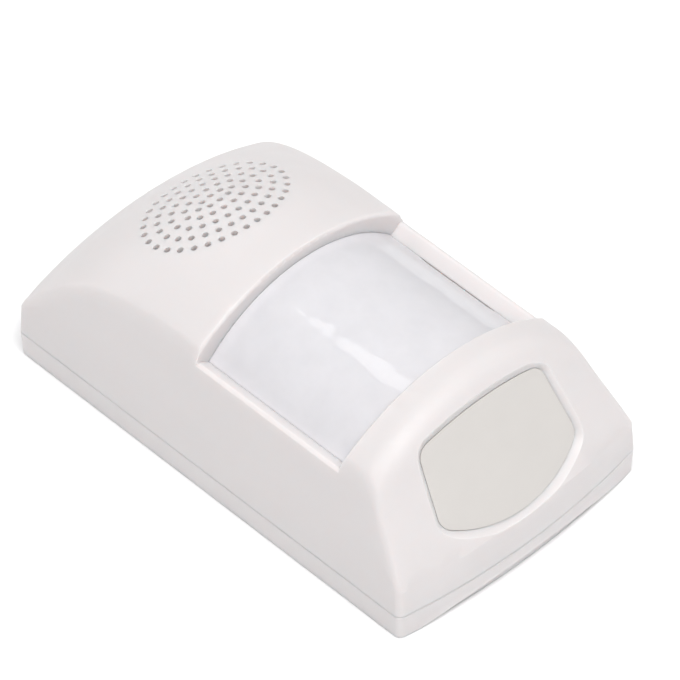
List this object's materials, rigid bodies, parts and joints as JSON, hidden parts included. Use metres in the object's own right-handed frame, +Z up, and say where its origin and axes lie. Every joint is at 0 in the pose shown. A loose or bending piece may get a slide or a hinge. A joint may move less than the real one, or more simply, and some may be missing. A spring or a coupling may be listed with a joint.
{
  "type": "passive infrared motion sensor",
  "caption": "White motion sensor with an arched lens in a recess, an oval sound grille at the far end and a milky light window at the lower end, in a two-shell wall casing.",
  "frame": {"origin": "middle of the back face, which lies against the wall", "axes": "+X to the right of a person who faces the lens with the grille up, +Y up towards the grille end, +Z out from the wall; the part rests on its back face with +Z up"},
  "size_m": [0.065, 0.115, 0.0402],
  "materials": {
    "housing_white": "fine satin white ABS moulding",
    "frame_white": "plain white moulding inside the casing",
    "lens_film": "milky white polyethylene film with moulded facets inside",
    "window_milk": "warm grey translucent plastic",
    "circuit_board": "green solder mask on glass-epoxy board",
    "steel_bright": "plated steel",
    "black_resin": "black moulded resin",
    "battery_sleeve": "plain dark sleeve",
    "speaker_black": "black coated pressed steel",
    "cone_paper": "dark moulded film cone",
    "foam_grey": "closed cell foam ring",
    "lead_red_black": "thin insulated lead",
    "filter_dark": "dark infrared filter",
    "lamp_resin": "pale yellow lamp resin",
    "ivory_plastic": "ivory connector plastic"
  },
  "bodies": {
    "root": {"battery_holder_left": "black_resin", "battery_holder_right": "black_resin", "battery_left": "battery_sleeve", "battery_right": "battery_sleeve", "board_screws": "steel_bright", "case_screws": "steel_bright", "clamp_screws": "steel_bright", "control_chip": "black_resin", "fresnel_lens": "lens_film", "front_housing": "housing_white", "lead_socket": "ivory_plastic", "lens_frame": "frame_white", "lens_frame_screws": "steel_bright", "light_board": "circuit_board", "light_bracket": "frame_white", "light_connector": "ivory_plastic", "light_lamps": "lamp_resin", "light_window": "window_milk", "main_board": "circuit_board", "plate_contact_left": "steel_bright", "plate_contact_right": "steel_bright", "pyro_filter": "filter_dark", "pyro_sensor": "steel_bright", "radio_module": "steel_bright", "rear_casing": "housing_white", "sensor_holder": "black_resin", "speaker_clamp": "frame_white", "speaker_cone": "cone_paper", "speaker_frame": "speaker_black", "speaker_gasket": "foam_grey", "speaker_leads": "lead_red_black", "speaker_magnet": "steel_bright", "spring_contact_left": "steel_bright", "spring_contact_right": "steel_bright", "storage_capacitors": "battery_sleeve"}
  },
  "joints": []
}
